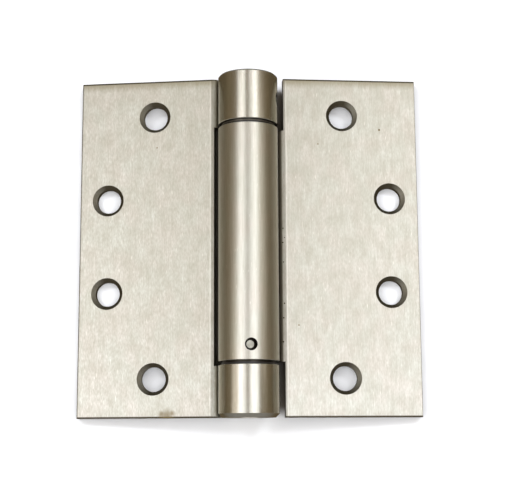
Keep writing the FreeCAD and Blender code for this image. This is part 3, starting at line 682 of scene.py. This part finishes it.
class HINGE_OT_spring(Operator):
    """Wind the torsion spring from round wire and bend its two tangs inwards"""

    bl_idname = "hinge.spring"
    bl_label = "Wind the spring"

    def execute(self, context):
        size = context.scene.hinge_spring
        wire_radius = size.wire / 2
        low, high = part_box("torsion_spring")
        bottom, top = low.y + wire_radius, high.y - wire_radius

        # The wire leaves the coil early enough for its bend to end on the line to the pin
        lead = math.asin(size.bend / (size.coil - size.bend))
        first_tang = math.radians(DROOP)
        turning = TURNS * math.tau + 2 * (first_tang - lead)

        let_go()
        bpy.ops.mesh.primitive_circle_add(
            vertices=WIRE_SIDES, radius=wire_radius, location=(size.coil, bottom, 0.0)
        )
        wire = context.object
        wire.name = wire.data.name = "wound_spring"
        bpy.ops.object.transform_apply(location=True)
        screw = wire.modifiers.new("Winding", "SCREW")
        screw.axis = "Y"
        screw.angle = -turning
        screw.screw_offset = top - bottom
        screw.steps = screw.render_steps = TURNS * STEPS_PER_TURN
        screw.use_smooth_shade = True
        bpy.ops.object.modifier_apply(modifier=screw.name)

        # Each tang: close the wire's end, bend it in, press it a little thinner, draw it out
        bend_start = {True: 0.0, False: -turning}
        bpy.ops.object.mode_set(mode="EDIT")
        for low_end, angle in bend_start.items():
            way = 1 if low_end else -1
            height = bottom if low_end else top
            inner = size.coil - size.bend
            centre = Vector((inner * math.cos(angle), height, -inner * math.sin(angle)))
            select_end(wire.data, low_end)
            bpy.ops.mesh.edge_face_add()
            bpy.ops.mesh.spin(
                steps=STEPS_PER_BEND,
                angle=way * (math.pi / 2 + lead),
                center=centre,
                axis=(0.0, 1.0, 0.0),
            )
            line = angle + way * lead
            inward = Vector((-math.cos(line), 0.0, math.sin(line)))
            to_pin = math.sqrt(inner**2 - size.bend**2)
            taper = 0.3 * MM
            bpy.ops.mesh.extrude_region_move(TRANSFORM_OT_translate={"value": inward * taper})
            thinner = size.tang / size.wire
            bpy.ops.transform.resize(value=(thinner, thinner, thinner))
            bpy.ops.mesh.extrude_region_move(
                TRANSFORM_OT_translate={"value": inward * (to_pin + size.past - taper)}
            )
        bpy.ops.mesh.select_all(action="SELECT")
        bpy.ops.mesh.normals_make_consistent(inside=False)
        bpy.ops.object.mode_set(mode="OBJECT")

        # Turn the whole coil so that the first tang stands where the anchor's slot is
        wire.rotation_euler.y = first_tang - lead
        bpy.ops.object.transform_apply(rotation=True)
        bpy.ops.object.shade_smooth_by_angle(angle=math.radians(40))

        skin = spring_wire("Oil tempered spring wire", context.scene.hinge_inner)
        wire.data.materials.append(skin)
        finish_nodes(skin, "hub_ring")
        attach(wire, "door_side")
        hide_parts("torsion_spring")
        return {"FINISHED"}


def white_paper(studio):
    """Matt white paper: faint clouds of pulp and short fibres, and no gloss."""
    material, tree, shader, place = new_material("Matt white paper", Metallic=0.0)
    pulp = grain(tree, place, 30 * MM, 30 * MM, (0, 0, 0), 4.0)
    fibre = grain(tree, place, 0.6 * MM, 0.6 * MM, (3, 2, 1))
    colours = solid(studio.paper), solid(studio.paper, 0.93)
    finish_with(tree, shader, pulp, colours, (0.85, 0.95), fibre, 0.01 * MM)
    return material


def painted_shadow_paper(studio):
    """The same paper close under the barrel, painted grey as the shadow where hardly any light
    comes down to it.

    The painted shadow is dark beside the barrel and fades to white past its ends and sides.
    """
    material, tree, shader, place = new_material("Paper in deep shade", Roughness=0.9)
    across, along = add_node(tree, "ShaderNodeSeparateXYZ", {0: place}).node.outputs[:2]
    share = 0.0
    for way, dark_to, white_from in ((along, 53.0, 57.5), (across, 12.0, 16.0)):
        far = add_node(tree, "ShaderNodeMath", {0: way}, operation="ABSOLUTE")
        edge = add_node(
            tree,
            "ShaderNodeMapRange",
            {0: far, 1: dark_to * MM, 2: white_from * MM},
            interpolation_type="SMOOTHSTEP",
        )
        share = add_node(tree, "ShaderNodeMath", {0: edge, 1: share}, operation="MAXIMUM")
    colours = {0: share, 6: solid(studio.shade), 7: solid(studio.paper)}
    colour = add_node(tree, "ShaderNodeMix", colours, 2, data_type="RGBA")
    tree.links.new(colour, shader.inputs["Base Color"])
    return material


def lay_sheet(name, width, length, below, material):
    """Lay a sheet of paper this far below the hinge and give it."""
    bpy.ops.mesh.primitive_plane_add(size=1.0, location=(0.0, 0.0, LOW.z - below))
    sheet = bpy.context.object
    sheet.name = name
    sheet.scale = (width, length, 1.0)
    bpy.ops.object.transform_apply(location=True, scale=True)
    sheet.data.materials.append(material)
    return sheet


def hang_lamp(name, across, along, bright, tint, mirrored, height):
    """Hang an area lamp at this height so that it fills the angles seen from the hinge."""
    left, right = (height * math.tan(math.radians(angle)) for angle in across)
    near, far = (height * math.tan(math.radians(angle)) for angle in along)
    middle = Vector(((left + right) / 2, (near + far) / 2, height))
    bpy.ops.object.light_add(type="AREA", location=middle)
    lamp = bpy.context.object
    lamp.name = name
    lamp.data.shape = "RECTANGLE"
    lamp.data.size = right - left
    lamp.data.size_y = far - near
    lamp.data.energy = bright * math.pi * (right - left) * (far - near)
    lamp.data.color = tint
    lamp.visible_glossy = mirrored


def dim_room(studio):
    """The room round the lamps, a little darker under the level of the table."""
    world = bpy.data.worlds.new("Dim room")
    world.use_nodes = True
    tree = world.node_tree
    way = add_node(tree, "ShaderNodeTexCoord", out="Generated")
    along, height = add_node(tree, "ShaderNodeSeparateXYZ", {0: way}).node.outputs[1:]
    share = add_node(tree, "ShaderNodeMapRange", {0: height, 1: -0.08, 2: 0.08})
    colours = {0: share, 6: solid(studio.room, 0.7), 7: solid(studio.room)}
    room = add_node(tree, "ShaderNodeMix", colours, 2, data_type="RGBA")
    # It is paler past the two ends of the hinge, which the bevels of the barrel mirror
    along = add_node(tree, "ShaderNodeMath", {0: along}, operation="ABSOLUTE")
    share = add_node(tree, "ShaderNodeMapRange", {0: along, 1: 0.5, 2: 0.85, 4: 0.6})
    colours = {0: share, 6: room, 7: solid(studio.paper, 0.5)}
    room = add_node(tree, "ShaderNodeMix", colours, 2, data_type="RGBA")
    tree.links.new(room, tree.nodes["Background"].inputs["Color"])
    return world


def stand_camera():
    """Stand the camera where the photo was taken from and give it."""
    stand = Vector(CAMERA_STAND) * MM
    forward = (Vector(CAMERA_AIM) * MM - stand).normalized()
    right = forward.cross(Vector((0.0, 1.0, 0.0))).normalized()
    upward = right.cross(forward)
    across = right * math.cos(CAMERA_ROLL) + upward * math.sin(CAMERA_ROLL)
    upright = upward * math.cos(CAMERA_ROLL) - right * math.sin(CAMERA_ROLL)
    turn = Matrix((across, upright, -forward)).transposed().to_4x4()
    bpy.ops.object.camera_add()
    camera = bpy.context.object
    camera.name = "photo_camera"
    camera.matrix_world = Matrix.Translation(stand) @ turn
    camera.data.lens = CAMERA_LENS
    camera.data.sensor_fit = "HORIZONTAL"
    camera.data.sensor_width = CAMERA_SENSOR
    camera.data.clip_start = 0.01
    camera.data.clip_end = 50.0
    return camera


class HINGE_OT_stage(Operator):
    """White paper floor, soft lamps overhead and the camera"""

    bl_idname = "hinge.stage"
    bl_label = "Set up the studio"

    def execute(self, context):
        studio = context.scene.hinge_studio
        let_go()
        white = white_paper(studio)
        shaded = painted_shadow_paper(studio)
        # Each sheet lies a hair above the one before it
        floor = lay_sheet("paper_floor", studio.floor, studio.floor, 0.01 * MM, white)
        under = lay_sheet("paper_under_hinge", 92 * MM, 92 * MM, 0.005 * MM, white)
        # The strip under the barrel carries a painted shadow
        strip = lay_sheet("paper_under_barrel", 32 * MM, 115 * MM, 0.002 * MM, shaded)

        # The metal mirrors the shaded paper and the dim room, and not the lit paper
        floor.visible_glossy = False

        for lamp in LAMPS:
            hang_lamp(*lamp, studio.lamp_height)
        context.scene.world = dim_room(studio)
        context.scene.camera = stand_camera()
        context.scene.view_settings.view_transform = "Standard"
        return {"FINISHED"}


class HINGE_PT_sidebar(Panel):
    """The steps of dressing the hinge, in their order"""

    bl_idname = "HINGE_PT_sidebar"
    bl_label = "Door hinge"
    bl_space_type = "VIEW_3D"
    bl_region_type = "UI"
    bl_category = "Hinge"

    def draw(self, context):
        layout = self.layout
        scene = context.scene
        for step, settings in (
            (HINGE_OT_leaves, scene.hinge_leaf),
            (HINGE_OT_turned, scene.hinge_inner),
            (HINGE_OT_plastics, None),
            (HINGE_OT_spring, scene.hinge_spring),
            (HINGE_OT_stage, scene.hinge_studio),
        ):
            layout.operator(step.bl_idname)
            if settings is None:
                continue
            column = layout.column(align=True)
            for name in settings.__annotations__:
                column.prop(settings, name)


CLASSES = (
    LeafFinish,
    InnerFinish,
    SpringSize,
    StudioSize,
    HINGE_OT_leaves,
    HINGE_OT_turned,
    HINGE_OT_plastics,
    HINGE_OT_spring,
    HINGE_OT_stage,
    HINGE_PT_sidebar,
)


def register():
    """Register the classes and give the scene its settings."""
    for cls in CLASSES:
        bpy.utils.register_class(cls)
    bpy.types.Scene.hinge_leaf = PointerProperty(type=LeafFinish)
    bpy.types.Scene.hinge_inner = PointerProperty(type=InnerFinish)
    bpy.types.Scene.hinge_spring = PointerProperty(type=SpringSize)
    bpy.types.Scene.hinge_studio = PointerProperty(type=StudioSize)


def unregister():
    """Take the settings and classes away again."""
    for name in ("hinge_leaf", "hinge_inner", "hinge_spring", "hinge_studio"):
        delattr(bpy.types.Scene, name)
    for cls in reversed(CLASSES):
        bpy.utils.unregister_class(cls)


def main():
    """Dress the hinge step by step."""
    register()
    bpy.ops.hinge.leaves()
    bpy.ops.hinge.turned()
    bpy.ops.hinge.plastics()
    bpy.ops.hinge.spring()
    bpy.ops.hinge.stage()


if __name__ == "__main__":
    main()
